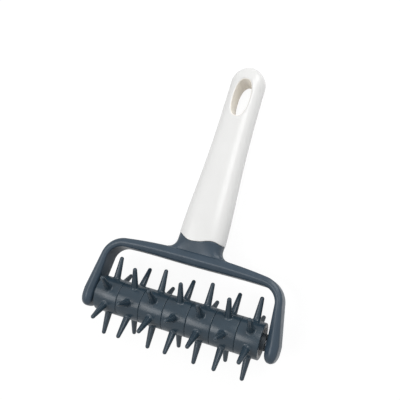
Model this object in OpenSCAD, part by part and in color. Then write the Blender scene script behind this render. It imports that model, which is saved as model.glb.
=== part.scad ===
// Dough docker: a free-turning roller of seven spiked rings in a U-shaped yoke,
// on a hollow handle with a hanging eye. Millimetres, +Z up.
// Each module is drawn level, with the axle along X through the origin and the
// handle along +Y. laid() then lays the tool down, so that the lowest row of
// spike tips and the end of the handle touch z = 0.

/* [Roller] */
// Distance from one row of spikes to the next along the axle
ring_pitch = 16; // [14:0.5:18]
// Diameter of a ring's body
ring_d = 22.4; // [20.4:0.2:25]
// Gap between the bodies of two neighbouring rings
ring_gap = 0.1; // [0.05:0.05:0.4]
// Bevel on the edges of a ring's body
ring_bevel = 0.5; // [0.2:0.1:1]
// How much shorter the last ring is on its outer side
end_ring_trim = 1.3; // [0:0.1:2.5]
// Angle of the first ring's spikes from straight up towards the handle
roll_angle = 21; // [0:1:59]

/* [Spikes] */
// Distance from the axle's centre to a spike's tip
spike_reach = 25.9; // [22:0.1:30]
// Diameter of a spike where it leaves the ring
spike_root_d = 4.5; // [3.6:0.1:5.6]
// Diameter of a spike's round tip
spike_tip_d = 2.7; // [2:0.1:3.4]
// Diameter of the flare at the foot of a spike
flare_d = 6.6; // [5.8:0.1:8]
// Height of the flare at the foot of a spike
flare_h = 1.3; // [0.6:0.1:2]

/* [Core and bushes] */
// Outside diameter of the tube that carries the rings
core_d = 12; // [11:0.2:13]
// Bore of the tube between the two bushes
core_bore_d = 7; // [6.2:0.1:8]
// Width of a key on the tube
key_w = 2.4; // [1.6:0.1:3.2]
// Height of a key on the tube
key_h = 1.2; // [0.6:0.1:1.6]
// Clearance between the tube and a ring, all round
core_fit = 0.05; // [0.02:0.01:0.2]
// How far a loose ring can turn either way on the keys, in degrees
key_slack = 4; // [3.7:0.1:5]
// Diameter of the recess in each face of a ring
recess_d = 17; // [16:0.2:18]
// Depth of the recess in each face of a ring
recess_depth = 1.3; // [0.8:0.1:2]
// Diameter of the bush's spigot inside the tube
spigot_d = 9.4; // [8.6:0.1:10.2]
// Length of the bush's spigot inside the tube
spigot_l = 12; // [6:0.5:18]
// Clearance round the bush's flange in the ring's recess
flange_fit = 0.1; // [0.05:0.05:0.3]
// Diameter of the neck between the roller and an arm
collar_d = 10.3; // [9:0.1:12]
// Length of the neck between the roller and an arm
collar_l = 2.2; // [1:0.05:5]
// Running gap on either side of the roller when it is centred between the arms
side_play = 0.4; // [0.3:0.05:0.8]
// How far the roller has slid along the axle from the centre
roller_slide = -0.25; // [-0.25:0.05:0.25]

/* [Axle] */
// Diameter of the steel axle rod
axle_d = 5; // [4:0.1:5.6]
// Radial running clearance between the rod and a bush
axle_clearance = 0.05; // [0.02:0.01:0.1]
// Wall left between a rod end and the outside of an arm
end_wall = 3; // [2:0.1:5]
// Diameter of the plug behind the rod
plug_d = 7; // [6.2:0.1:8]
// Length of the plug behind the rod
plug_l = 2.3; // [1:0.1:2.4]
// How far the plug sits below the arm's outside
plug_inset = 0.3; // [0.1:0.05:0.6]

/* [Yoke] */
// Depth of the yoke from its top to its underside
yoke_depth = 16.6; // [14:0.2:17.6]
// How far the yoke's top and underside fall from their middle ridge to their edges
yoke_ridge = 1.8; // [0:0.1:2.2]
// Thickness of an arm beside the axle
arm_t_axle = 8.1; // [7.4:0.1:9]
// Thickness of an arm at the shoulder
arm_t_shoulder = 5; // [4.4:0.1:6.5]
// Length of an arm beyond the axle's centre
arm_past_axle = 11.1; // [9:0.1:14]
// Length over which an arm's end rounds off
arm_nose = 8.1; // [5:0.1:8.6]
// How far an arm leans inwards from the axle to the shoulder
arm_lean = 2.6; // [0:0.1:4]
// Height of the boss round the axle on an arm's inner face
boss_h = 0.4; // [0.2:0.1:1]
// Diameter of the boss round the axle on an arm's inner face
boss_d = 11.2; // [10.4:0.1:12]
// Distance from the axle to the middle of the cross bar
bar_y = 36.6; // [34:0.1:39]
// Thickness of the cross bar beside the neck
bar_t_neck = 8.4; // [7:0.1:10]
// Thickness of the cross bar at the shoulder
bar_t_shoulder = 6.1; // [5:0.1:7.5]
// Drop of the cross bar from the neck to the shoulder
bar_drop = 1.2; // [0:0.1:3]
// Radius of the shoulder's bend at its middle
bend_r = 14; // [9:0.1:16]
// Radius of the fillet from the cross bar up to the neck's sides
neck_fillet = 6; // [2:0.5:8]
// Depth of the fold between the cross bar's ridge and the neck
neck_fold = 2.2; // [0.8:0.1:3]
// How far the neck sits inside the handle's outline
neck_inset = 0.15; // [0.1:0.05:0.8]

/* [Handle] */
// Distance from the axle to the lower edge of the handle at its middle
seam_y = 47.5; // [46:0.1:54]
// Radius of the bow of the handle's lower edge
seam_r = 37; // [28:0.5:60]
// Gap between the handle's lower edge and the neck
seam_gap = 0.2; // [0.05:0.05:0.5]
// Distance from the axle to the handle's end
handle_end_y = 170.9; // [150:0.1:190]
// Width of the handle at its lower edge
handle_w_neck = 30.9; // [28:0.1:34]
// Width of the handle towards its end
handle_w_end = 23.3; // [21:0.1:27]
// Thickness of the handle at its lower edge
handle_t_neck = 21; // [18:0.2:24]
// Thickness of the handle towards its end
handle_t_end = 17; // [14:0.2:19]
// How far the handle's middle is set down below the axle's level
handle_drop = 1.8; // [0:0.1:3]
// Length over which most of the handle's taper happens
taper_l = 49; // [35:1:60]
// Wall of the hollow handle
handle_wall = 2.6; // [1.8:0.1:3.2]
// Length of the hanging eye
eye_l = 25.8; // [18:0.1:30]
// Width of the hanging eye
eye_w = 11.2; // [8:0.1:13]
// Material between the hanging eye and the handle's end
eye_to_end = 11; // [8:0.1:16]

/* [Tang] */
// Length of the yoke's tang inside the handle, from the handle's lower edge
tang_l = 66; // [40:1:76]
// Thickness of the tang's two crossed webs
tang_web = 3.6; // [2.4:0.1:5]
// Number of cross ribs on the tang
tang_ribs = 4; // [2:1:6]
// Thickness of a cross rib on the tang
tang_rib_t = 2.4; // [1.6:0.1:4]
// Clearance between the tang and the handle's inside
tang_fit = 0.1; // [0.05:0.05:0.4]

/* [Hidden] */

$fn = 48;
slate = [0.24, 0.29, 0.34];
gloss_white = [0.95, 0.95, 0.93];
steel = [0.72, 0.73, 0.75];
acetal = [0.17, 0.21, 0.25];

ring_count = 7;
spikes_per_ring = 6;
// Where each loose ring has settled on the keys, in degrees
ring_turns = [0, 1, 0.5, -1.5, 1.5, -3.5, 3.5];
key_count = 4;
quarter_turn = 90;
tip_steps = 5;
flare_steps = 3;
// How far cutting solids run past what they cut
past = 1;

// Along the axle, from the middle outwards
roller_end_x = (ring_count * ring_pitch - end_ring_trim) / 2;
recess_floor_x = roller_end_x - recess_depth;
boss_x = roller_end_x + collar_l + side_play;
arm_in_x = boss_x + boss_h;
arm_out_x = arm_in_x + arm_t_axle;
rod_end_x = arm_out_x - end_wall;
plug_x = arm_out_x - plug_inset;
arm_x = arm_in_x + arm_t_axle / 2;

// Spikes
spike_start_r = ring_d / 2 - flare_h;
tip_centre_r = spike_reach - spike_tip_d / 2;
stagger = 180 / spikes_per_ring;
spike_angles = [for (i = [1 : ring_count], k = [0 : spikes_per_ring - 1])
                roll_angle + ring_turns[i - 1] + ((i + 1) % 2 + 2 * k) * stagger];

// Sections are flattened ovals: 2 is an ellipse, larger is squarer
yoke_squareness = 4;
handle_squareness = 2.6;
yoke_points = 20;
handle_points = 32;

// Yoke's middle line: an arm, a bend, half the cross bar
lean_angle = atan2(arm_lean, bar_y - bar_drop - bend_r);
bar_slope = atan2(2 * bar_drop, arm_x - arm_lean - bend_r);
bend_centre = [arm_x - arm_lean - bend_r * cos(lean_angle),
               bar_y - bar_drop - bend_r * cos(bar_slope)];
bend_start = bend_centre + bend_r * [cos(lean_angle), sin(lean_angle)];
bend_end = bend_centre + bend_r * [sin(bar_slope), cos(bar_slope)];
arm_steps = 5;
bend_steps = 8;
bar_steps = 5;
end_angles = [82, 66, 48, 30, 14];
nose_y = arm_nose - arm_past_axle;
nose_squareness = 2.3;
// The end's depth shrinks less than its thickness
nose_depth_power = 0.7;

// Neck
neck_root_y = bar_y + bar_t_neck / 4;
neck_steps = 9;

// Handle
handle_round = handle_w_end / 2;
round_y = handle_end_y - handle_round;
handle_steps = 12;
round_angles = [0, 15, 30, 45, 60, 72, 82, 88];
seam_centre_y = seam_y + seam_r;
eye_mid_y = handle_end_y - eye_to_end - eye_l / 2;
cavity_end_y = eye_mid_y - eye_l / 2 - handle_wall;
tang_end_y = seam_y + tang_l;

// A point on the outline of a flattened oval of half sizes a and b
function oval_point(t, a, b, m) = [
    a * sign(cos(t)) * pow(abs(cos(t)), 2 / m),
    b * sign(sin(t)) * pow(abs(sin(t)), 2 / m)];

function mix(a, b, u) = a + (b - a) * u;

// A station of the yoke: [x, y, direction of the section, half thickness, half depth]
function arm_station(y, s) =
    let (u = max(y, 0) / bend_start.y)
    [arm_x - (arm_x - bend_start.x) * u, y, lean_angle * u,
     s * mix(arm_t_axle, arm_t_shoulder, u) / 2,
     pow(s, nose_depth_power) * yoke_depth / 2];

function bend_station(u) =
    let (a = mix(lean_angle, 90 - bar_slope, u))
    [bend_centre.x + bend_r * cos(a), bend_centre.y + bend_r * sin(a), a,
     mix(arm_t_shoulder, bar_t_shoulder, u) / 2, yoke_depth / 2];

function bar_station(u) =
    [bend_end.x * (1 - u), mix(bend_end.y, bar_y, 1 - pow(1 - u, 2)),
     mix(90 - bar_slope, 90, u), mix(bar_t_shoulder, bar_t_neck, sin(90 * u)) / 2,
     yoke_depth / 2];

right_half = concat(
    [for (a = end_angles)
     let (p = oval_point(a, 1, arm_nose, nose_squareness))
     arm_station(nose_y - p.y, p.x)],
    [for (k = [0 : arm_steps])
     arm_station(mix(nose_y, bend_start.y, k / (arm_steps + 1)), 1)],
    [for (k = [0 : bend_steps]) bend_station(k / bend_steps)],
    [for (k = [1 : bar_steps]) bar_station(k / bar_steps)]);
left_half = [for (k = [len(right_half) - 2 : -1 : 0])
             let (s = right_half[k]) [-s[0], s[1], 180 - s[2], s[3], s[4]]];

function yoke_ring(s) = [for (k = [0 : yoke_points - 1])
    let (p = oval_point(360 * k / yoke_points, s[3], s[4], yoke_squareness),
         fall = yoke_ridge / (yoke_depth / 2) * abs(p.x) / s[3])
    [s[0] + p.x * cos(s[2]), s[1] + p.x * sin(s[2]), p.y * (1 - fall)]];

// Handle sizes at a distance y from the axle, before its round end
function taper(y) = exp(-pow((y - seam_y) / taper_l, 2));
function handle_w(y) = handle_w_end + (handle_w_neck - handle_w_end) * taper(y);
function handle_t(y) = handle_t_end + (handle_t_neck - handle_t_end) * taper(y);

// A section of the handle or the neck: [y, half width, half thickness, middle's height]
function long_ring(s) = [for (k = [0 : handle_points - 1])
    let (p = oval_point(360 * k / handle_points, s[1], s[2], handle_squareness))
    [p.x, s[0], s[3] + p.y]];

handle_sections = concat(
    [for (k = [0 : handle_steps - 1])
     let (y = mix(seam_y - past, round_y, k / handle_steps))
     [y, handle_w(y) / 2, handle_t(y) / 2, -handle_drop]],
    [for (a = round_angles)
     [round_y + handle_round * sin(a), handle_w(round_y) / 2 * cos(a),
      handle_t(round_y) / 2 * sqrt(cos(a)), -handle_drop]]);
cavity_sections = [for (k = [0 : handle_steps])
    let (y = mix(seam_y - past, cavity_end_y, k / handle_steps))
    [y, handle_w(y) / 2 - handle_wall, handle_t(y) / 2 - handle_wall, -handle_drop]];

// The neck widens in a fillet down to the cross bar
function fillet_w(y) =
    let (d = bar_y + bar_t_neck / 2 + neck_fillet - y)
    d <= 0 ? 0 : neck_fillet - sqrt(max(0, pow(neck_fillet, 2) - pow(min(d, neck_fillet), 2)));
neck_sections = [for (k = [0 : neck_steps])
    let (y = mix(neck_root_y, seam_y + past + seam_r - sqrt(pow(seam_r, 2)
                 - pow(handle_w_neck / 2, 2)), k / neck_steps),
         u = k / neck_steps)
    [y, handle_w(y) / 2 - neck_inset + fillet_w(y),
     mix(yoke_depth / 2 - neck_fold, handle_t(y) / 2 - neck_inset, u),
     -handle_drop * u]];

// How the tool lies: turned by lay_angle about the axle until both ends touch
function lowest_tip(a) = tip_centre_r * min([for (t = spike_angles) cos(t + a)])
    - spike_tip_d / 2;
function lowest_handle(a) = min([for (s = handle_sections)
    -s[0] * sin(a) + (s[3] - s[2]) * cos(a)]);
function find_lay(lo, hi, n) =
    let (a = (lo + hi) / 2)
    n == 0 ? a :
    lowest_handle(a) > lowest_tip(a) ? find_lay(a, hi, n - 1) : find_lay(lo, a, n - 1);
lay_angle = find_lay(0, 30, 30);
axle_height = -lowest_tip(lay_angle);
front_y = tip_centre_r * min([for (t = spike_angles) sin(t + lay_angle)])
    - spike_tip_d / 2;
back_y = max([for (s = handle_sections)
              s[0] * cos(lay_angle) + (s[3] + s[2]) * sin(lay_angle)]);
axle_y = -(front_y + back_y) / 2;
echo(lay_angle = lay_angle, axle_y = axle_y, axle_height = axle_height);

module laid() {
    translate([0, axle_y, axle_height])
        rotate([-lay_angle, 0, 0])
            children();
}

module rolled() {
    laid()
        translate([roller_slide, 0, 0])
            children();
}

// A closed skin through rings of points that all have the same number of points
module loft(rings) {
    n = len(rings[0]);
    last = len(rings) - 1;
    sides = [for (j = [0 : last - 1], k = [0 : n - 1])
             let (a = j * n + k, b = j * n + (k + 1) % n)
             each [[a, b, b + n], [a, b + n, a + n]]];
    polyhedron(
        points = [for (r = rings) each r],
        faces = concat(sides, [[for (k = [n - 1 : -1 : 0]) k]],
                       [[for (k = [0 : n - 1]) last * n + k]]));
}

// A round bar of diameter d along X from x0 to x1
module bar_x(d, x0, x1) {
    translate([x0, 0, 0])
        rotate([0, 90, 0])
            cylinder(d = d, h = x1 - x0);
}

// The tube's outside with its keys from -x to x, grown by fit all round and by
// slack degrees on both sides of each key
module keyed_bar(fit, slack, x) {
    key_r = core_d / 2 + key_h + fit;
    width = key_w + 2 * fit + 2 * key_r * sin(slack);
    bar_x(core_d + 2 * fit, -x, x);
    for (k = [0 : key_count / 2 - 1])
        rotate([k * quarter_turn, 0, 0])
            cube([2 * x, width, 2 * key_r], center = true);
}

// One spike along +Z from inside the ring's body, turned from its outline
module spike() {
    tip_r = spike_tip_d / 2;
    foot = ring_d / 2;
    outline = concat(
        [[0, spike_start_r], [flare_d / 2, spike_start_r]],
        [for (k = [0 : flare_steps])
         let (u = k / flare_steps)
         [mix(flare_d, spike_root_d, 1 - pow(1 - u, 2)) / 2, foot + (u - 0.3) * flare_h]],
        [for (k = [0 : tip_steps - 1])
         let (a = 90 * k / tip_steps)
         [tip_r * cos(a), tip_centre_r + tip_r * sin(a)]],
        [[0, spike_reach]]);
    rotate_extrude()
        polygon(outline);
}

// One spiked ring about the axle, with its keyways and a recess in each face
module ring_body(left_x, right_x) {
    r = ring_d / 2;
    floor_r = core_d / 2 - past;
    rotate([0, 90, 0])
        rotate_extrude()
            polygon([
                [floor_r, left_x + recess_depth], [recess_d / 2, left_x + recess_depth],
                [recess_d / 2, left_x], [r - ring_bevel, left_x], [r, left_x + ring_bevel],
                [r, right_x - ring_bevel], [r - ring_bevel, right_x], [recess_d / 2, right_x],
                [recess_d / 2, right_x - recess_depth], [floor_r, right_x - recess_depth]]);
}

module spiked_ring(i) {
    half = (ring_pitch - ring_gap) / 2;
    left_x = -half - (i == 1 ? ring_gap / 2 : 0);
    right_x = half - (i == ring_count ? end_ring_trim - ring_gap / 2 : 0);
    turn = roll_angle + ring_turns[i - 1] + (i % 2 == 0 ? quarter_turn : 0);
    middle_x = (i - (ring_count + 1) / 2) * ring_pitch + end_ring_trim / 2;
    color(slate)
        rolled()
            translate([middle_x, 0, 0])
                rotate([-turn, 0, 0])
                    difference() {
                        union() {
                            ring_body(left_x, right_x);
                            for (k = [0 : spikes_per_ring - 1])
                                rotate([k * 360 / spikes_per_ring, 0, 0])
                                    spike();
                        }
                        keyed_bar(core_fit, key_slack, ring_pitch);
                    }
}

// The tube with four keys that carries the rings and turns with them
module roller_core() {
    color(slate)
        rolled()
            rotate([-roll_angle, 0, 0])
                difference() {
                    keyed_bar(0, 0, recess_floor_x);
                    bar_x(core_bore_d, -recess_floor_x - past, recess_floor_x + past);
                    bar_x(spigot_d, recess_floor_x - spigot_l, recess_floor_x + past);
                    bar_x(spigot_d, -recess_floor_x - past, spigot_l - recess_floor_x);
                }
}

// The right-hand bush: spigot in the tube, flange in the ring's recess, neck to the arm
module end_bush() {
    bore_r = axle_d / 2 + axle_clearance;
    spigot_x = recess_floor_x - spigot_l;
    collar_x = roller_end_x + collar_l;
    rotate([0, 90, 0])
        rotate_extrude()
            polygon([
                [bore_r, spigot_x], [spigot_d / 2, spigot_x], [spigot_d / 2, recess_floor_x],
                [recess_d / 2 - flange_fit, recess_floor_x],
                [recess_d / 2 - flange_fit, roller_end_x - flange_fit],
                [collar_d / 2, roller_end_x - flange_fit], [collar_d / 2, collar_x],
                [bore_r, collar_x]]);
}

module right_end_bush() {
    color(acetal)
        rolled()
            end_bush();
}

module left_end_bush() {
    color(acetal)
        rolled()
            mirror([1, 0, 0])
                end_bush();
}

// The rod is pressed into both arms and doesn't turn
module axle_rod() {
    color(steel)
        laid()
            bar_x(axle_d, -rod_end_x, rod_end_x);
}

module axle_plug() {
    color(slate)
        laid()
            bar_x(plug_d, -plug_x, plug_l - plug_x);
}

// The part of the neck below the handle's bowed edge
module neck() {
    difference() {
        loft([for (s = neck_sections) long_ring(s)]);
        translate([0, seam_centre_y, -handle_t_neck])
            cylinder(r = seam_r + seam_gap, h = 2 * handle_t_neck, $fn = 96);
    }
}

// Two crossed webs with ribs that fill the hollow of the handle
module tang() {
    root_y = bar_y;
    web_w = handle_w(tang_end_y) - 2 * handle_wall - 2 * tang_fit - 2 * past;
    web_t = handle_t(tang_end_y) - 2 * handle_wall - 2 * tang_fit - 2 * past;
    translate([-web_w / 2, root_y, -handle_drop - tang_web / 2])
        cube([web_w, tang_end_y - root_y, tang_web]);
    translate([-tang_web / 2, root_y, -handle_drop - web_t / 2])
        cube([tang_web, tang_end_y - root_y, web_t]);
    for (k = [1 : tang_ribs]) {
        y = mix(seam_centre_y - sqrt(pow(seam_r, 2) - pow(handle_w_neck / 2, 2)) + tang_rib_t,
                tang_end_y, k / tang_ribs);
        inside = [handle_w(y) / 2 - handle_wall - tang_fit,
                  handle_t(y) / 2 - handle_wall - tang_fit];
        translate([0, y, -handle_drop])
            rotate([90, 0, 0])
                linear_extrude(tang_rib_t)
                    polygon([for (j = [0 : handle_points - 1])
                             oval_point(360 * j / handle_points, inside.x, inside.y,
                                        handle_squareness)]);
    }
}

module yoke_frame() {
    color(slate)
        laid()
            difference() {
                union() {
                    loft([for (s = concat(right_half, left_half)) yoke_ring(s)]);
                    neck();
                    tang();
                    bar_x(boss_d, boss_x, arm_x);
                    bar_x(boss_d, -arm_x, -boss_x);
                }
                bar_x(axle_d, boss_x - past, rod_end_x);
                bar_x(axle_d, -arm_out_x, past - boss_x);
                bar_x(plug_d, -arm_out_x - past, plug_l - plug_x);
            }
}

// The hollow handle with its bowed lower edge and the hanging eye
module handle_shell() {
    side = 2 * handle_w_neck;
    eye_r = eye_w / 2;
    color(gloss_white)
        laid()
            difference() {
                loft([for (s = handle_sections) long_ring(s)]);
                loft([for (s = cavity_sections) long_ring(s)]);
                difference() {
                    translate([-side / 2, seam_y - 2 * past, -side / 2])
                        cube([side, seam_r, side]);
                    translate([0, seam_centre_y, -side])
                        cylinder(r = seam_r, h = 2 * side, $fn = 96);
                }
                for (e = [-1, 1])
                    translate([0, eye_mid_y + e * (eye_l / 2 - eye_r), -handle_t_neck])
                        cylinder(r = eye_r, h = 2 * handle_t_neck);
                translate([-eye_r, eye_mid_y - eye_l / 2 + eye_r, -handle_t_neck])
                    cube([eye_w, eye_l - eye_w, 2 * handle_t_neck]);
            }
}

yoke_frame();
handle_shell();
axle_rod();
axle_plug();
roller_core();
left_end_bush();
right_end_bush();
for (i = [1 : ring_count])
    spiked_ring(i);
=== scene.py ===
# Dough docker: a white handle, a slate yoke and a roller of seven spiked rings. The
# yoke, the handle and the rings are drawn again here with finer shapes, and the other
# parts keep their CAD meshes. The shapes are written in millimetres in the tool's own
# frame, with the axle along X through the origin and the handle along +Y. TO_SCENE
# lays them in the scene's metres.
import math
from collections import namedtuple

import bmesh
import bpy
import numpy as np
from mathutils import Euler, Matrix, Vector

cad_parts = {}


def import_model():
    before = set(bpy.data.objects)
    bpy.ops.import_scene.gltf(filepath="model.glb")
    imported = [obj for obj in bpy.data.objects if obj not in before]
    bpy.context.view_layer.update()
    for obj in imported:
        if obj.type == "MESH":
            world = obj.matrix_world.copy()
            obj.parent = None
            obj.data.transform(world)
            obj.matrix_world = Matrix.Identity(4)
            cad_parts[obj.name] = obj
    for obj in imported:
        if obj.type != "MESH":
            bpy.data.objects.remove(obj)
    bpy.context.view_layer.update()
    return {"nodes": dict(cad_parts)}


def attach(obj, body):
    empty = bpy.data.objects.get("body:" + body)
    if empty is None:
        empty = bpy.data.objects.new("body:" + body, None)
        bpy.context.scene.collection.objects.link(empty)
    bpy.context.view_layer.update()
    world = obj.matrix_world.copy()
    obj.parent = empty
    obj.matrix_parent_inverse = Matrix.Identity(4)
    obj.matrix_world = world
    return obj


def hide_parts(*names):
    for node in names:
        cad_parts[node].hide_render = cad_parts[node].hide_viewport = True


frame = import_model()

MM = 0.001
FULL_TURN = 2 * math.pi

# How the tool lies: its tilt about the axle, and the axle's place
LIE_ANGLE = math.radians(5.5741)
AXLE_Y = -72.1063
AXLE_Z = 25.878
TO_SCENE = (Matrix.Scale(MM, 4) @ Matrix.Translation((0, AXLE_Y, AXLE_Z))
            @ Matrix.Rotation(-LIE_ANGLE, 4, "X"))

# Roller: the last ring is narrower by END_TRIM, and the roller has slid to one side
RINGS = 7
RING_PITCH = 16.0
RING_GAP = 0.1
RING_RADIUS = 11.42
RING_BEVEL = 0.4
RING_BORE_RADIUS = 6.1
RECESS_RADIUS = 8.5
RECESS_DEPTH = 1.3
RECESS_LIP = 0.15
RECESS_CORNER = 0.1
RING_STEPS = 4
RING_COLUMNS = 96
END_TRIM = 1.3
ROLLER_SLIDE = -0.25

# How the rings stand, in degrees: the roller's turn, the quarter turn of every second ring,
# and how far each ring has turned in its slack on the keys
ROLLER_TURN = 21.0
KEY_TURN = 90
RING_TURNS = (0, 1, 0.5, -1.5, 1.5, -3.5, 3.5)

# Spikes: each starts a little below the ring's face, with a fillet round its foot
SPIKES = 6
SPIKE_REACH = 25.899
SPIKE_ROOT_RADIUS = 2.25
SPIKE_TIP_RADIUS = 1.35
SPIKE_COLUMNS = 28
SPIKE_SIDE_ROWS = 4
SPIKE_TIP_ROWS = 7
FOOT_RADIUS = 3.2
FOOT_HEIGHT = 1.1
FOOT_ROWS = 7
FOOT_SUNK = 0.05
FOOT_SKIRT = 0.1

# Yoke: its thickness lies in the plane of the U, and its depth stands across it. At the bend
# the arm leans in by ARM_LEAN, and the bar is lower by BAR_DROP than in its middle. A higher
# BAR_BOW keeps the bar level for longer.
YOKE_DEPTH = 16.6
ARM_INSIDE_X = 58.35
ARM_AXLE_THICK = 8.0
ARM_SHOULDER_THICK = 4.6
ARM_PAST_AXLE = 11.15
ARM_LEAN = 2.95
ARM_ROWS = 17
BEND_RADIUS = 12.9
BEND_ROWS = 20
BAR_Y = 36.45
BAR_SHOULDER_THICK = 5.75
BAR_NECK_THICK = 8.6
BAR_DROP = 1.4
BAR_BOW = 3
BAR_ROWS = 20

# The yoke's section: a low roof on both faces with a soft ridge, and round edges whose radius
# is at most EDGE_SHARE of half the thickness
ROOF = math.radians(31)
RIDGE_RADIUS = 2.4
EDGE_RADIUS = 2.6
EDGE_SHARE = 0.6
SECTION_STEPS = 6

# The arms' ends: squarish in the plane of the U, and blunter across it
NOSE_START_Y = -3.0
NOSE_SQUARENESS = 2.3
NOSE_DEPTH_POWER = 0.7
NOSE_ANGLES = (87, 83, 77, 70, 62, 54, 45, 36, 27, 18, 9)

# The rod's sockets: a boss on each arm, a stepped hole through the left arm for the rod and its
# plug, and a blind hole in the right one
BOSS_RADIUS = 5.6
BOSS_HEIGHT = 0.4
BOSS_X = ARM_INSIDE_X - BOSS_HEIGHT
BOSS_EDGE = 0.2
BOSS_CORNER = 0.05
BOSS_STEPS = 3
ROD_RADIUS = 2.5
ROD_END_X = 63.45
PLUG_RADIUS = 3.5
PLUG_FLOOR_X = 63.85
DRILL_FAR_X = 80.0
DRILL_NEAR_X = 50.0
BORE_COLUMNS = 64

# Neck: its first rows are inside the bar, NECK_ROOTS above the bar's middle and FLARE_START
# below its upper edge. Then it flares out of the bar and goes on as a tang into the shell.
NECK_FILLET = 6.0
NECK_INSET = 0.3
NECK_SQUARENESS = 3.4
NECK_ROOTS = (1.2, 2.4)
NECK_ROWS = 5
FOLD_BACK = 0.7
FLARE_START = 0.6
FLARE_ANGLES = range(6, 91, 7)
TANG_STEP = 1.0
TANG_INSET = 2.75
TANG_RISE = 6.0

# Handle: wide at the seam with the neck and tapering to the end. Its middle lies HANDLE_DROP
# below the axle's level, and INSIDE_RUN is how far its inner wall goes up behind the lip.
TAPER_START_Y = 47.5
TAPER_LENGTH = 49.0
HANDLE_END_Y = 170.88
SEAM_WIDTH = 30.9
END_WIDTH = 23.3
SEAM_THICK = 21.0
END_THICK = 17.0
HANDLE_DROP = 1.8
HANDLE_WALL = 2.6
HANDLE_SQUARENESS = 2.6
HANDLE_COLUMNS = 96
SIDE_ROWS = 56
SIDE_CROWDING = 1.15
END_ROWS = 24
END_LAST_ANGLE = 88.6
LIP = 0.35
LIP_ROWS = 4
INSIDE_RUN = 9

# The handle's lower edge round its section: its mean height, and then the sizes of the
# cosines of once, twice and more times the section's angle
SEAM_WAVE = (49.45, -0.581, 1.258, -0.936, -0.432, 0.392, 0.134, -0.055)
SEAM_GAP = 0.2

# Hanging eye: an oval right through the handle, with round rims. Its cutter ends a little past
# the handle's surface, and the last two values keep its points off the handle's very edges.
EYE_LENGTH = 25.8
EYE_WIDTH = 11.2
EYE_TO_END = 10.3
EYE_MIDDLE_Y = HANDLE_END_Y - EYE_TO_END - EYE_LENGTH / 2
EYE_SQUARENESS = 2.4
EYE_COLUMNS = 72
EYE_RIM = 1.2
RIM_ROWS = 6
RIM_LAST_ANGLE = math.radians(78)
CUTTER_PAST = 0.6
CUTTER_WIDER = 0.35
JUST_INSIDE_END = 0.9999
JUST_INSIDE_SIDE = 0.999

# Colours as their darkest and lightest, and the two slates' roughness, which varies a little
RING_SLATE = ((0.023, 0.042, 0.060), (0.029, 0.051, 0.072))
RING_ROUGH = 0.23
FRAME_SLATE = ((0.031, 0.053, 0.076), (0.038, 0.062, 0.090))
FRAME_ROUGH = 0.33
HANDLE_WHITE = ((0.82, 0.82, 0.81), (0.84, 0.84, 0.83))
BUSH_DARK = ((0.018, 0.026, 0.034), (0.026, 0.036, 0.046))
ROD_STEEL = ((0.50, 0.51, 0.53), (0.62, 0.63, 0.65))

# The slate plastic's reflection, where 0.5 is that of common plastic
SLATE_SHEEN = 0.4

# The eye's wall gets painted bounce light: a lighter, warmer white that stands in for the warm light
# bouncing round inside the hole. It reaches EYE_EDGE past the opening and fades out
# where the oval's own measure grows from 1 to EYE_FADE
EYE_PAINTED_BOUNCE = (0.97, 0.93, 0.86)
EYE_EDGE = 0.3
EYE_FADE = 1.12

# Camera, from the places of 37 spike tips in the photograph: its place, its turns about
# X, Y and Z in degrees, and its lens
CAMERA_AT = (116.807, 10.635, 365.879)
CAMERA_TURN = (14.5704, 15.4433, 17.1483)
LENS = 53.898
SENSOR = 36.0
CLIP_START = 10 * MM

# Surroundings: the sky's light on the object, the floor's paint, and the floor as the
# camera and mirrors see it. There it is white by its own glow, and the rest of it is
# lit, so that it shows the object's shadow: faint for the camera, nearly whole in mirrors.
SKY = 0.32
FLOOR_HALF = 6.0
FLOOR_PAINT = 0.8
FLOOR_GLOW = 0.9
FLOOR_LIT = 0.15
MIRROR_GLOW = 0.1
MIRROR_LIT = 0.9
WHITE_RAYS = ("Is Camera Ray", "Is Glossy Ray", "Is Transmission Ray")

# Soft boxes, as name, tilt from straight above, azimuth and watts. They are squares of
# BOX_SIDE metres, BOX_FAR metres from the point that they face.
BOX_SIDE = 0.42
BOX_FAR = 0.9
BOX_AIM = (0.0, -0.02, 0.02)
BOXES = (("key_box", 22, 218, 1.95), ("left_box", 35, 180, 1.3),
         ("right_box", 35, 60, 2.0), ("back_box", 65, 65, 2.3))


# Mesh helpers
def mix(a, b, u):
    return a + (b - a) * u


def mesh_object(name, points, faces):
    """A smooth mesh object from points of the tool's frame in mm, laid in the scene's metres."""
    mesh = bpy.data.meshes.new(name)
    mesh.from_pydata([TO_SCENE @ Vector(p) for p in points], [], [list(map(int, f)) for f in faces])
    mesh.validate()
    mesh.shade_smooth()
    ob = bpy.data.objects.new(name, mesh)
    bpy.context.scene.collection.objects.link(ob)
    return ob


def skin(rings):
    """Points and faces of a closed skin through rings of points, with a fan at each end."""
    rings = [np.asarray(r, float) for r in rings]
    columns = len(rings[0])
    points = [p for r in rings for p in r]
    faces = []
    for j in range(len(rings) - 1):
        for k in range(columns):
            a, b = j * columns + k, j * columns + (k + 1) % columns
            faces.append((a, b, b + columns, a + columns))
    first, last = len(points), len(points) + 1
    points += [rings[0].mean(0), rings[-1].mean(0)]
    base = (len(rings) - 1) * columns
    for k in range(columns):
        n = (k + 1) % columns
        faces.append((n, k, first))
        faces.append((base + k, base + n, last))
    return points, faces


def joined(parts):
    """One list of points and one of faces from several."""
    points, faces = [], []
    for part_points, part_faces in parts:
        first = len(points)
        points += list(part_points)
        faces += [tuple(i + first for i in f) for f in part_faces]
    return points, faces


def circle(x, radius, columns):
    """Points of a circle round the X axis."""
    angles = [FULL_TURN * k / columns for k in range(columns)]
    return [(x, radius * math.sin(a), radius * math.cos(a)) for a in angles]


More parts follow.
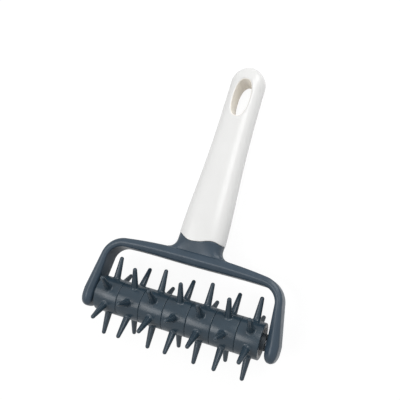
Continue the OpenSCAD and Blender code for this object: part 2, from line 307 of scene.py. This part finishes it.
def turned(outline, columns):
    """A closed outline of x and radius turned about the X axis."""
    points = [p for x, radius in outline for p in circle(x, radius, columns)]
    rows = len(outline)
    faces = []
    for j in range(rows):
        i = (j + 1) % rows
        for k in range(columns):
            n = (k + 1) % columns
            faces.append((j * columns + k, j * columns + n, i * columns + n, i * columns + k))
    return points, faces


def rounded(corners, steps):
    """A closed polygon of (x, y, radius) corners with each corner turned into an arc."""
    out = []
    count = len(corners)
    for i in range(count):
        corner = np.array(corners[i][:2], float)
        radius = corners[i][2]
        a = np.array(corners[i - 1][:2], float) - corner
        b = np.array(corners[(i + 1) % count][:2], float) - corner
        a /= np.linalg.norm(a)
        b /= np.linalg.norm(b)
        half = math.acos(max(-1.0, min(1.0, float(a @ b)))) / 2
        centre = corner + (a + b) / np.linalg.norm(a + b) * radius / math.sin(half)
        reach = radius / math.tan(half)
        start = corner + a * reach - centre
        end = corner + b * reach - centre
        first = math.atan2(start[1], start[0])
        sweep = math.atan2(end[1], end[0]) - first
        sweep = (sweep + math.pi) % FULL_TURN - math.pi
        for k in range(steps + 1):
            t = first + sweep * k / steps
            out.append((centre[0] + radius * math.cos(t), centre[1] + radius * math.sin(t)))
    return out


def outward(ob):
    """Turns every face of ob to the outside."""
    bm = bmesh.new()
    bm.from_mesh(ob.data)
    bmesh.ops.recalc_face_normals(bm, faces=bm.faces)
    bm.to_mesh(ob.data)
    bm.free()
    return ob


def cut(ob, cutter):
    """Takes the cutter's shape out of ob and removes the cutter."""
    mod = ob.modifiers.new("cut", "BOOLEAN")
    mod.operation = "DIFFERENCE"
    mod.solver = "EXACT"
    mod.object = cutter
    graph = bpy.context.evaluated_depsgraph_get()
    graph.update()
    mesh = bpy.data.meshes.new_from_object(ob.evaluated_get(graph))
    ob.modifiers.clear()
    ob.data = mesh
    bpy.data.objects.remove(cutter)
    return ob


def join_into(ob, other):
    """Adds the faces of other to ob."""
    bm = bmesh.new()
    bm.from_mesh(ob.data)
    bm.from_mesh(other.data)
    bm.to_mesh(ob.data)
    bm.free()
    bpy.data.objects.remove(other)
    return ob


# Spiked rings
def spike_row(radius, height, on_ring):
    """A round row of a spike, level where on_ring is 0 and bent over the ring's face where it is 1."""
    row = []
    for k in range(SPIKE_COLUMNS):
        a = FULL_TURN * k / SPIKE_COLUMNS
        x, y = radius * math.cos(a), radius * math.sin(a)
        base = mix(RING_RADIUS, math.sqrt(RING_RADIUS ** 2 - y ** 2), on_ring)
        row.append((x, y, base + height))
    return row


def spike_shell():
    """A spike along +Z from its round foot on the ring's face to its round tip."""
    rows = [spike_row(FOOT_RADIUS + FOOT_SKIRT, -FOOT_SUNK, 1.0)]
    for j in range(FOOT_ROWS + 1):
        a = math.radians(90 * j / FOOT_ROWS)
        radius = mix(SPIKE_ROOT_RADIUS, FOOT_RADIUS, 1 - math.sin(a))
        rows.append(spike_row(radius, FOOT_HEIGHT * (1 - math.cos(a)), 1 - j / FOOT_ROWS))
    tip_z = SPIKE_REACH - SPIKE_TIP_RADIUS - RING_RADIUS
    for j in range(1, SPIKE_SIDE_ROWS + 1):
        u = j / SPIKE_SIDE_ROWS
        radius = mix(SPIKE_ROOT_RADIUS, SPIKE_TIP_RADIUS, u)
        rows.append(spike_row(radius, mix(FOOT_HEIGHT, tip_z, u), 0.0))
    for j in range(1, SPIKE_TIP_ROWS):
        a = math.radians(90 * j / SPIKE_TIP_ROWS)
        rows.append(spike_row(SPIKE_TIP_RADIUS * math.cos(a), tip_z + SPIKE_TIP_RADIUS * math.sin(a), 0.0))
    points, faces = skin(rows)
    points[-1] = np.array((0.0, 0.0, SPIKE_REACH))
    return points, faces


def ring_outline(left, right):
    """The ring's body in the plane of x and radius, with round edges and a recess in each face."""
    floor_left, floor_right = left + RECESS_DEPTH, right - RECESS_DEPTH
    corners = [
        (left, RING_RADIUS, RING_BEVEL), (right, RING_RADIUS, RING_BEVEL),
        (right, RECESS_RADIUS, RECESS_LIP), (floor_right, RECESS_RADIUS, RECESS_CORNER),
        (floor_right, RING_BORE_RADIUS, RECESS_CORNER), (floor_left, RING_BORE_RADIUS, RECESS_CORNER),
        (floor_left, RECESS_RADIUS, RECESS_CORNER), (left, RECESS_RADIUS, RECESS_LIP)]
    return rounded(corners, RING_STEPS)


def spiked_ring(i):
    """Ring i with its six spikes. The two outer rings have no gap at their free ends."""
    half = (RING_PITCH - RING_GAP) / 2
    left = -half - (RING_GAP / 2 if i == 1 else 0)
    right = half - (END_TRIM - RING_GAP / 2 if i == RINGS else 0)
    middle = (i - (RINGS + 1) / 2) * RING_PITCH + END_TRIM / 2 + ROLLER_SLIDE
    turn = math.radians(ROLLER_TURN + RING_TURNS[i - 1] + (KEY_TURN if i % 2 == 0 else 0))
    parts = [turned(ring_outline(left, right), RING_COLUMNS)]
    shell, faces = spike_shell()
    for k in range(SPIKES):
        spin = Matrix.Rotation(FULL_TURN * k / SPIKES, 3, "X")
        parts.append(([spin @ Vector(p) for p in shell], faces))
    points, faces = joined(parts)
    spin = Matrix.Rotation(-turn, 3, "X")
    points = [spin @ Vector(p) + Vector((middle, 0, 0)) for p in points]
    return outward(mesh_object(f"ring_{i}", points, faces))


# Yoke: stations along its right half, from the arm's end to the middle of the bar. A station
# is the middle of a section, the angle of its thickness and its half sizes. The scale shrinks
# the round edges where the section gets small.
Station = namedtuple("Station", "x y angle half_thick half_depth scale")

ARM_X = ARM_INSIDE_X + ARM_AXLE_THICK / 2
LEAN = math.atan2(ARM_LEAN, BAR_Y - BAR_DROP - BEND_RADIUS)
SLOPE = math.atan2(BAR_BOW * BAR_DROP, ARM_X - ARM_LEAN - BEND_RADIUS)
BEND_X = ARM_X - ARM_LEAN - BEND_RADIUS * math.cos(LEAN)
BEND_Y = BAR_Y - BAR_DROP - BEND_RADIUS * math.cos(SLOPE)
BEND_START_X = BEND_X + BEND_RADIUS * math.cos(LEAN)
BEND_START_Y = BEND_Y + BEND_RADIUS * math.sin(LEAN)
BEND_END_X = BEND_X + BEND_RADIUS * math.sin(SLOPE)
BEND_END_Y = BEND_Y + BEND_RADIUS * math.cos(SLOPE)


def arm_station(y, wide=1.0, deep=1.0):
    """The arm at the height y. It is straight below the axle and leans in above it."""
    u = max(y, 0) / BEND_START_Y
    return Station(ARM_X - (ARM_X - BEND_START_X) * u, y, LEAN * u,
                   wide * mix(ARM_AXLE_THICK, ARM_SHOULDER_THICK, u) / 2, deep * YOKE_DEPTH / 2, wide)


def nose_station(degrees):
    """The arm's round end, from 0 where it starts to 90 at its tip."""
    power = 2 / NOSE_SQUARENESS
    run = (ARM_PAST_AXLE + NOSE_START_Y) * math.sin(math.radians(degrees)) ** power
    wide = math.cos(math.radians(degrees)) ** power
    return arm_station(NOSE_START_Y - run, wide, wide ** NOSE_DEPTH_POWER)


def bend_station(u):
    """The bend, from 0 at the arm to 1 at the bar."""
    a = mix(LEAN, math.pi / 2 - SLOPE, u)
    return Station(BEND_X + BEND_RADIUS * math.cos(a), BEND_Y + BEND_RADIUS * math.sin(a), a,
                   mix(ARM_SHOULDER_THICK, BAR_SHOULDER_THICK, u) / 2, YOKE_DEPTH / 2, 1.0)


def bar_station(u):
    """The bar, from 0 at the bend to 1 in its middle, where it is highest and thickest."""
    return Station(BEND_END_X * (1 - u), mix(BEND_END_Y, BAR_Y, 1 - (1 - u) ** BAR_BOW),
                   mix(math.pi / 2 - SLOPE, math.pi / 2, u),
                   mix(BAR_SHOULDER_THICK, BAR_NECK_THICK, math.sin(u * math.pi / 2)) / 2,
                   YOKE_DEPTH / 2, 1.0)


def yoke_stations():
    """The right half's stations, and then their mirror images from the middle to the left end."""
    half = [nose_station(a) for a in NOSE_ANGLES]
    half += [arm_station(mix(NOSE_START_Y, BEND_START_Y, k / ARM_ROWS)) for k in range(ARM_ROWS)]
    half += [bend_station(k / BEND_ROWS) for k in range(BEND_ROWS + 1)]
    half += [bar_station(k / BAR_ROWS) for k in range(1, BAR_ROWS + 1)]
    return half + [s._replace(x=-s.x, angle=math.pi - s.angle) for s in half[-2::-1]]


def yoke_section(half_thick, half_depth, scale):
    """The section's outline: a low roof on both faces, which meets in a soft ridge."""
    edge = min(EDGE_RADIUS * scale, half_thick * EDGE_SHARE)
    ridge = RIDGE_RADIUS * scale
    # The arc takes the ridge down a little, so the roof is put up by as much
    top = half_depth + ridge * (1 / math.cos(ROOF) - 1)
    side = top - half_thick * math.tan(ROOF)
    corners = [(half_thick, -side, edge), (half_thick, side, edge), (0, top, ridge),
               (-half_thick, side, edge), (-half_thick, -side, edge), (0, -top, ridge)]
    return rounded(corners, SECTION_STEPS)


def yoke_ring(s):
    """The section's points at the station s."""
    return [(s.x + u * math.cos(s.angle), s.y + u * math.sin(s.angle), v)
            for u, v in yoke_section(s.half_thick, s.half_depth, s.scale)]


def drill(steps):
    """A round cutter along X through steps of x and radius."""
    rings = [circle(x, radius, BORE_COLUMNS) for x, radius in steps]
    return outward(mesh_object("drill", *skin(rings)))


def bosses():
    """The bosses round the rod on the inner faces of both arms."""
    outline = rounded([(BOSS_X, ROD_RADIUS, BOSS_CORNER), (BOSS_X, BOSS_RADIUS, BOSS_EDGE),
                       (ARM_X, BOSS_RADIUS, BOSS_CORNER), (ARM_X, ROD_RADIUS, BOSS_CORNER)], BOSS_STEPS)
    mirrored = [(-x, radius) for x, radius in outline]
    return [turned(outline, BORE_COLUMNS), turned(mirrored, BORE_COLUMNS)]


def yoke():
    ob = outward(mesh_object("yoke", *skin([yoke_ring(s) for s in yoke_stations()])))
    cut(ob, drill([(-DRILL_FAR_X, PLUG_RADIUS), (-PLUG_FLOOR_X, PLUG_RADIUS),
                   (-PLUG_FLOOR_X, ROD_RADIUS), (-DRILL_NEAR_X, ROD_RADIUS)]))
    cut(ob, drill([(DRILL_NEAR_X, ROD_RADIUS), (ROD_END_X, ROD_RADIUS)]))
    extra = mesh_object("yoke_extra", *joined(bosses() + [skin(neck_rings())]))
    return join_into(ob, outward(extra))


# Handle and neck, both from sections that are flattened ovals
def taper(y):
    return math.exp(-((y - TAPER_START_Y) / TAPER_LENGTH) ** 2)


def half_width(y):
    return mix(END_WIDTH, SEAM_WIDTH, taper(y)) / 2


def half_thickness(y):
    return mix(END_THICK, SEAM_THICK, taper(y)) / 2


def oval(t, a, b, squareness):
    """A point of a flattened oval of half sizes a and b at the angle t."""
    c, s = math.cos(t), math.sin(t)
    power = 2 / squareness
    return (a * math.copysign(abs(c) ** power, c), b * math.copysign(abs(s) ** power, s))


def section_angles():
    """Angles that put the points of a handle's section evenly round its outline."""
    fine = np.linspace(0, FULL_TURN, 1441)
    slimness = 1.35
    points = np.array([oval(a, slimness, 1.0, HANDLE_SQUARENESS) for a in fine])
    run = np.r_[0, np.cumsum(np.linalg.norm(np.diff(points, axis=0), axis=1))]
    return [float(np.interp(run[-1] * k / HANDLE_COLUMNS, run, fine)) for k in range(HANDLE_COLUMNS)]


ANGLES = section_angles()
ROUND_RADIUS = END_WIDTH / 2
ROUND_Y = HANDLE_END_Y - ROUND_RADIUS


def seam_y(t):
    """The handle's lower edge at the angle t of its section: a wave that dips on each face."""
    return sum(part * math.cos(k * t) for k, part in enumerate(SEAM_WAVE))


def handle_point(t, y, inset=0.0):
    """A point of the handle's outside, or inset mm inside it."""
    x, z = oval(t, half_width(y) - inset, half_thickness(y) - inset, HANDLE_SQUARENESS)
    return (x, y, z - HANDLE_DROP)


def lip_rings():
    """The lower edge: down the inside of the shell's wall, and round the lip to the outside."""
    rings = [[handle_point(t, seam_y(t) + INSIDE_RUN, HANDLE_WALL) for t in ANGLES],
             [handle_point(t, seam_y(t) + LIP, HANDLE_WALL) for t in ANGLES],
             [handle_point(t, seam_y(t), HANDLE_WALL - LIP) for t in ANGLES]]
    for k in range(LIP_ROWS + 1):
        a = math.radians(90 * k / LIP_ROWS)
        up, inset = LIP * (1 - math.cos(a)), LIP * (1 - math.sin(a))
        rings.append([handle_point(t, seam_y(t) + up, inset) for t in ANGLES])
    return rings


def side_rings():
    """The handle's side from the lip to the round end, closer together near the lip."""
    rings = []
    for k in range(1, SIDE_ROWS):
        u = (k / SIDE_ROWS) ** SIDE_CROWDING
        rings.append([handle_point(t, mix(seam_y(t) + LIP, ROUND_Y, u)) for t in ANGLES])
    return rings


def end_rings():
    """The round end, whose thickness shrinks more slowly than its width."""
    rings = []
    for k in range(END_ROWS + 1):
        a = math.radians(END_LAST_ANGLE * k / END_ROWS)
        wide = half_width(ROUND_Y) * math.cos(a)
        thick = half_thickness(ROUND_Y) * math.sqrt(math.cos(a))
        ring = []
        for t in ANGLES:
            x, z = oval(t, wide, thick, HANDLE_SQUARENESS)
            ring.append((x, ROUND_Y + ROUND_RADIUS * math.sin(a), z - HANDLE_DROP))
        rings.append(ring)
    return rings


def handle_surface_z(x, y, side):
    """Height of the handle's top (side 1) or underside (side -1) above the point x, y."""
    if y <= ROUND_Y:
        wide, thick = half_width(y), half_thickness(y)
    else:
        s = min(JUST_INSIDE_END, (y - ROUND_Y) / ROUND_RADIUS)
        c = math.sqrt(1 - s * s)
        wide, thick = half_width(ROUND_Y) * c, half_thickness(ROUND_Y) * math.sqrt(c)
    u = min(JUST_INSIDE_SIDE, abs(x) / wide)
    return side * thick * (1 - u ** HANDLE_SQUARENESS) ** (1 / HANDLE_SQUARENESS) - HANDLE_DROP


def eye_ring(grow, side, out):
    """The eye's outline, grown by grow, at the height out above the handle's top or underside."""
    ring = []
    for k in range(EYE_COLUMNS):
        t = FULL_TURN * (k + 0.5) / EYE_COLUMNS
        x, y = oval(t, EYE_WIDTH / 2 + grow, EYE_LENGTH / 2 + grow, EYE_SQUARENESS)
        y += EYE_MIDDLE_Y
        ring.append((x, y, handle_surface_z(x, y, side) + side * out))
    return ring


def eye_cutter():
    """The eye's shape, whose two ends flare to the handle's surface, so the rims come out round."""
    rings = []
    for side in (-1, 1):
        flare = []
        for k in range(RIM_ROWS + 1):
            a = RIM_LAST_ANGLE * k / RIM_ROWS
            flare.append(eye_ring(EYE_RIM * (1 - math.cos(a)), side, -EYE_RIM * (1 - math.sin(a))))
        widest = EYE_RIM * (1 - math.cos(RIM_LAST_ANGLE)) + CUTTER_WIDER
        flare.append(eye_ring(widest, side, CUTTER_PAST))
        rings += flare[::-1] if side < 0 else flare
    return outward(mesh_object("eye_cutter", *skin(rings)))


def handle():
    rings = lip_rings() + side_rings() + end_rings()
    return cut(outward(mesh_object("handle", *skin(rings))), eye_cutter())


# The neck starts at the bar's upper edge. Its faces rise from a fold a little below that edge.
NECK_START_Y = BAR_Y + BAR_NECK_THICK / 2
FOLD_Y = NECK_START_Y - FOLD_BACK
FOLD_Z = YOKE_DEPTH / 2 - BAR_NECK_THICK / 2 * math.tan(ROOF)


def neck_flare(y):
    """How much wider the neck is on each side at y, by its fillet to the bar."""
    above = y - NECK_START_Y
    if above <= 0:
        return NECK_FILLET
    if above < NECK_FILLET:
        return NECK_FILLET - math.sqrt(NECK_FILLET ** 2 - (NECK_FILLET - above) ** 2)
    return 0.0


def neck_point(t, y):
    """A point of the neck, whose faces rise straight from the fold to the handle's edge."""
    u = (y - FOLD_Y) / (seam_y(t) - SEAM_GAP - FOLD_Y)
    wide = half_width(y) - NECK_INSET + neck_flare(y)
    thick = mix(FOLD_Z, half_thickness(y) - NECK_INSET, u)
    x, z = oval(t, wide, thick, mix(NECK_SQUARENESS, HANDLE_SQUARENESS, max(u, 0)))
    return (x, y, z - HANDLE_DROP * u)


def neck_rings():
    """The neck from inside the bar to the handle's edge, and on as a tang into the shell."""
    heights = [BAR_Y + root for root in NECK_ROOTS] + [NECK_START_Y - FLARE_START]
    heights += [NECK_START_Y + NECK_FILLET * (1 - math.cos(math.radians(a))) for a in FLARE_ANGLES]
    rings = [[neck_point(t, y) for t in ANGLES] for y in heights]
    for k in range(1, NECK_ROWS + 1):
        u = k / NECK_ROWS
        rings.append([neck_point(t, mix(heights[-1], seam_y(t) - SEAM_GAP, u)) for t in ANGLES])
    for rise, inset in ((0.0, TANG_STEP), (0.0, TANG_INSET), (TANG_RISE, TANG_INSET)):
        rings.append([handle_point(t, seam_y(t) - SEAM_GAP + rise, inset) for t in ANGLES])
    return rings


# Materials
def new_material(name, colour, roughness):
    """A new material, its node tree and its shader."""
    mat = bpy.data.materials.new(name)
    mat.use_nodes = True
    shader = mat.node_tree.nodes["Principled BSDF"]
    shader.inputs["Base Color"].default_value = (*colour, 1)
    shader.inputs["Roughness"].default_value = roughness
    return mat, mat.node_tree, shader


def noise(tree, per_metre, detail, fineness=0.55, stretch=(1, 1, 1)):
    """Noise over the object's own coordinates, with so many features per metre."""
    coords = tree.nodes.new("ShaderNodeTexCoord")
    mapping = tree.nodes.new("ShaderNodeMapping")
    mapping.inputs["Scale"].default_value = stretch
    texture = tree.nodes.new("ShaderNodeTexNoise")
    texture.inputs["Scale"].default_value = per_metre
    texture.inputs["Detail"].default_value = detail
    texture.inputs["Roughness"].default_value = fineness
    tree.links.new(coords.outputs["Object"], mapping.inputs["Vector"])
    tree.links.new(mapping.outputs["Vector"], texture.inputs["Vector"])
    return texture.outputs["Fac"]


def blotches(tree, source, dark, light, low=0.3, high=0.7):
    """A colour from dark where the source is low to light where it is high."""
    node = tree.nodes.new("ShaderNodeValToRGB")
    for element, position, colour in zip(node.color_ramp.elements, (low, high), (dark, light)):
        element.position = position
        element.color = (*colour, 1)
    tree.links.new(source, node.inputs["Fac"])
    return node.outputs["Color"]


def spread(tree, source, low, high, from_low=0.3, from_high=0.7):
    """A value from low to high while the source goes from from_low to from_high."""
    node = tree.nodes.new("ShaderNodeMapRange")
    node.inputs["From Min"].default_value = from_low
    node.inputs["From Max"].default_value = from_high
    node.inputs["To Min"].default_value = low
    node.inputs["To Max"].default_value = high
    tree.links.new(source, node.inputs["Value"])
    return node.outputs["Result"]


def bump(tree, shader, source, strength, distance):
    node = tree.nodes.new("ShaderNodeBump")
    node.inputs["Strength"].default_value = strength
    node.inputs["Distance"].default_value = distance
    tree.links.new(source, node.inputs["Height"])
    tree.links.new(node.outputs["Normal"], shader.inputs["Normal"])


def math_node(tree, operation, first, second=0.0):
    """The result of a Math node on two numbers or sockets."""
    node = tree.nodes.new("ShaderNodeMath")
    node.operation = operation
    for socket, value in zip(node.inputs, (first, second)):
        if isinstance(value, float):
            socket.default_value = value
        else:
            tree.links.new(value, socket)
    return node.outputs[0]


def slate_plastic(name, shades, rough):
    """Satin slate plastic with faint blotches and a fine grain."""
    mat, tree, shader = new_material(name, shades[0], rough)
    colour = blotches(tree, noise(tree, per_metre=90.0, detail=4.0), *shades)
    gloss = spread(tree, noise(tree, per_metre=260.0, detail=3.0), low=rough - 0.04, high=rough + 0.05)
    tree.links.new(colour, shader.inputs["Base Color"])
    tree.links.new(gloss, shader.inputs["Roughness"])
    shader.inputs["Specular IOR Level"].default_value = SLATE_SHEEN
    bump(tree, shader, noise(tree, per_metre=1600.0, detail=2.0), strength=0.12, distance=0.2 * MM)
    return mat


def painted_bounce_mask(tree):
    """Where the warm bounce light is painted: 1 on the hanging eye's wall, falling to 0 across its rim."""
    middle = TO_SCENE @ Vector((0, EYE_MIDDLE_Y, -HANDLE_DROP))
    coords = tree.nodes.new("ShaderNodeTexCoord")
    mapping = tree.nodes.new("ShaderNodeMapping")
    mapping.vector_type = "TEXTURE"
    mapping.inputs["Location"].default_value = middle
    mapping.inputs["Rotation"].default_value = (-LIE_ANGLE, 0, 0)
    mapping.inputs["Scale"].default_value = ((EYE_WIDTH / 2 + EYE_EDGE) * MM,
                                             (EYE_LENGTH / 2 + EYE_EDGE) * MM, MM)
    split = tree.nodes.new("ShaderNodeSeparateXYZ")
    tree.links.new(coords.outputs["Object"], mapping.inputs["Vector"])
    tree.links.new(mapping.outputs["Vector"], split.inputs["Vector"])
    parts = [math_node(tree, "POWER", math_node(tree, "ABSOLUTE", split.outputs[axis]), EYE_SQUARENESS)
             for axis in ("X", "Y")]
    measure = math_node(tree, "ADD", *parts)
    return spread(tree, measure, low=1.0, high=0.0, from_low=1.0, from_high=EYE_FADE)


def white_plastic():
    """Glossy white plastic with a slight waviness, and painted warm bounce light on the wall of the
    hanging eye.
    """
    mat, tree, shader = new_material("white_plastic", (0.80, 0.80, 0.80), 0.22)
    colour = blotches(tree, noise(tree, per_metre=40.0, detail=3.0), *HANDLE_WHITE)
    # Painted bounce light: a lighter, warmer white blended onto the eye's wall
    blend = tree.nodes.new("ShaderNodeMixRGB")
    blend.inputs["Color2"].default_value = (*EYE_PAINTED_BOUNCE, 1)
    tree.links.new(painted_bounce_mask(tree), blend.inputs["Fac"])
    tree.links.new(colour, blend.inputs["Color1"])
    gloss = spread(tree, noise(tree, per_metre=120.0, detail=3.0), low=0.18, high=0.27)
    tree.links.new(blend.outputs["Color"], shader.inputs["Base Color"])
    tree.links.new(gloss, shader.inputs["Roughness"])
    bump(tree, shader, noise(tree, per_metre=220.0, detail=2.0), strength=0.08, distance=0.3 * MM)
    return mat


def dark_plastic():
    """Matt dark plastic of the bushes."""
    mat, tree, shader = new_material("dark_plastic", (0.02, 0.03, 0.04), 0.45)
    body = noise(tree, per_metre=150.0, detail=3.0)
    tree.links.new(blotches(tree, body, *BUSH_DARK), shader.inputs["Base Color"])
    tree.links.new(spread(tree, body, low=0.40, high=0.52), shader.inputs["Roughness"])
    bump(tree, shader, noise(tree, per_metre=1800.0, detail=2.0), strength=0.1, distance=0.2 * MM)
    return mat


def brushed_steel():
    """Steel with fine lines drawn out along X, the rod's length."""
    mat, tree, shader = new_material("brushed_steel", (0.55, 0.56, 0.58), 0.3)
    shader.inputs["Metallic"].default_value = 1.0
    lines = noise(tree, per_metre=900.0, detail=3.0, fineness=0.6, stretch=(0.06, 1, 1))
    tree.links.new(blotches(tree, lines, *ROD_STEEL), shader.inputs["Base Color"])
    tree.links.new(spread(tree, lines, low=0.22, high=0.38), shader.inputs["Roughness"])
    bump(tree, shader, lines, strength=0.1, distance=0.2 * MM)
    return mat


def wear(ob, material):
    ob.data.materials.clear()
    ob.data.materials.append(material)


# Stage
def seen_white(tree):
    """1 for the rays that see the white background: the camera's, reflected and refracted ones."""
    path = tree.nodes.new("ShaderNodeLightPath")
    rays = [path.outputs[name] for name in WHITE_RAYS]
    seen = rays[0]
    for ray in rays[1:]:
        seen = math_node(tree, "MAXIMUM", seen, ray)
    return seen


def white_with_shadow(tree):
    """A white that glows by itself and is lit for the rest, more so where a mirror sees it."""
    mirrored = tree.nodes.new("ShaderNodeLightPath").outputs["Is Glossy Ray"]
    lit = tree.nodes.new("ShaderNodeBsdfDiffuse")
    lit_share = spread(tree, mirrored, FLOOR_LIT, MIRROR_LIT, from_low=0.0, from_high=1.0)
    tree.links.new(lit_share, lit.inputs["Color"])
    glow = tree.nodes.new("ShaderNodeEmission")
    glow_share = spread(tree, mirrored, FLOOR_GLOW, MIRROR_GLOW, from_low=0.0, from_high=1.0)
    tree.links.new(glow_share, glow.inputs["Strength"])
    both = tree.nodes.new("ShaderNodeAddShader")
    tree.links.new(lit.outputs[0], both.inputs[0])
    tree.links.new(glow.outputs[0], both.inputs[1])
    return both.outputs[0]


def floor_white():
    """Pale paint for the light that falls on the object, and white for the rays that see it."""
    mat = bpy.data.materials.new("floor_white")
    mat.use_nodes = True
    tree = mat.node_tree
    tree.nodes.remove(tree.nodes["Principled BSDF"])
    paint = tree.nodes.new("ShaderNodeBsdfDiffuse")
    paint.inputs["Color"].default_value = (FLOOR_PAINT, FLOOR_PAINT, FLOOR_PAINT, 1)
    choice = tree.nodes.new("ShaderNodeMixShader")
    tree.links.new(seen_white(tree), choice.inputs["Fac"])
    tree.links.new(paint.outputs[0], choice.inputs[1])
    tree.links.new(white_with_shadow(tree), choice.inputs[2])
    tree.links.new(choice.outputs[0], tree.nodes["Material Output"].inputs["Surface"])
    return mat


def floor():
    mesh = bpy.data.meshes.new("floor")
    corners = [(x * FLOOR_HALF, y * FLOOR_HALF, 0) for x, y in ((-1, -1), (1, -1), (1, 1), (-1, 1))]
    mesh.from_pydata(corners, [], [(0, 1, 2, 3)])
    mesh.materials.append(floor_white())
    ob = bpy.data.objects.new("floor", mesh)
    bpy.context.scene.collection.objects.link(ob)


def world():
    """A plain white sky: dim as a light, and of strength 1 for the rays that see it."""
    made = bpy.data.worlds.new("studio")
    bpy.context.scene.world = made
    made.use_nodes = True
    tree = made.node_tree
    sky = tree.nodes["Background"]
    clear = tree.nodes.new("ShaderNodeBackground")
    for node, strength in ((sky, SKY), (clear, 1.0)):
        node.inputs["Color"].default_value = (1, 1, 1, 1)
        node.inputs["Strength"].default_value = strength
    choice = tree.nodes.new("ShaderNodeMixShader")
    tree.links.new(seen_white(tree), choice.inputs["Fac"])
    tree.links.new(sky.outputs[0], choice.inputs[1])
    tree.links.new(clear.outputs[0], choice.inputs[2])
    tree.links.new(choice.outputs[0], tree.nodes["World Output"].inputs["Surface"])


def softbox(name, tilt, azimuth, watts):
    """A soft square light that faces the object from tilt degrees off straight above."""
    light = bpy.data.lights.new(name, "AREA")
    light.shape = "RECTANGLE"
    light.size, light.size_y = BOX_SIDE, BOX_SIDE
    light.energy = watts
    ob = bpy.data.objects.new(name, light)
    t, a = math.radians(tilt), math.radians(azimuth)
    away = Vector((math.sin(t) * math.cos(a), math.sin(t) * math.sin(a), math.cos(t)))
    across = Vector((0, 1, 0)).cross(away).normalized()
    axes = Matrix((across, away.cross(across), away)).transposed()
    ob.matrix_world = Matrix.Translation(Vector(BOX_AIM) + BOX_FAR * away) @ axes.to_4x4()
    bpy.context.scene.collection.objects.link(ob)


def camera():
    data = bpy.data.cameras.new("camera")
    data.lens = LENS
    data.sensor_width = SENSOR
    data.sensor_fit = "HORIZONTAL"
    data.clip_start = CLIP_START
    ob = bpy.data.objects.new("camera", data)
    turn = Euler([math.radians(a) for a in CAMERA_TURN]).to_matrix()
    turn = TO_SCENE.to_3x3().normalized() @ turn
    ob.matrix_world = Matrix.Translation(TO_SCENE @ Vector(CAMERA_AT)) @ turn.to_4x4()
    bpy.context.scene.collection.objects.link(ob)
    bpy.context.scene.camera = ob


# The scene
def dress(ob, body, node, material):
    """Says which body a new piece rides on, which node it replaces and what it is made of."""
    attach(ob, body)
    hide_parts(node)
    wear(ob, material)


def main():
    ring_slate = slate_plastic("ring_slate", RING_SLATE, RING_ROUGH)
    frame_slate = slate_plastic("frame_slate", FRAME_SLATE, FRAME_ROUGH)
    white, dark, steel = white_plastic(), dark_plastic(), brushed_steel()
    camera()
    floor()
    world()
    for box in BOXES:
        softbox(*box)

    for i in range(1, RINGS + 1):
        dress(spiked_ring(i), "roller", f"spiked_ring_{i}", ring_slate)
    dress(yoke(), "handle_frame", "yoke_frame", frame_slate)
    dress(handle(), "handle_frame", "handle_shell", white)

    kept_nodes = (("axle_rod", steel), ("axle_plug", frame_slate), ("roller_core", ring_slate),
                  ("left_end_bush", dark), ("right_end_bush", dark))
    for name, material in kept_nodes:
        wear(frame["nodes"][name], material)

    bpy.context.scene.view_settings.view_transform = "Standard"


main()
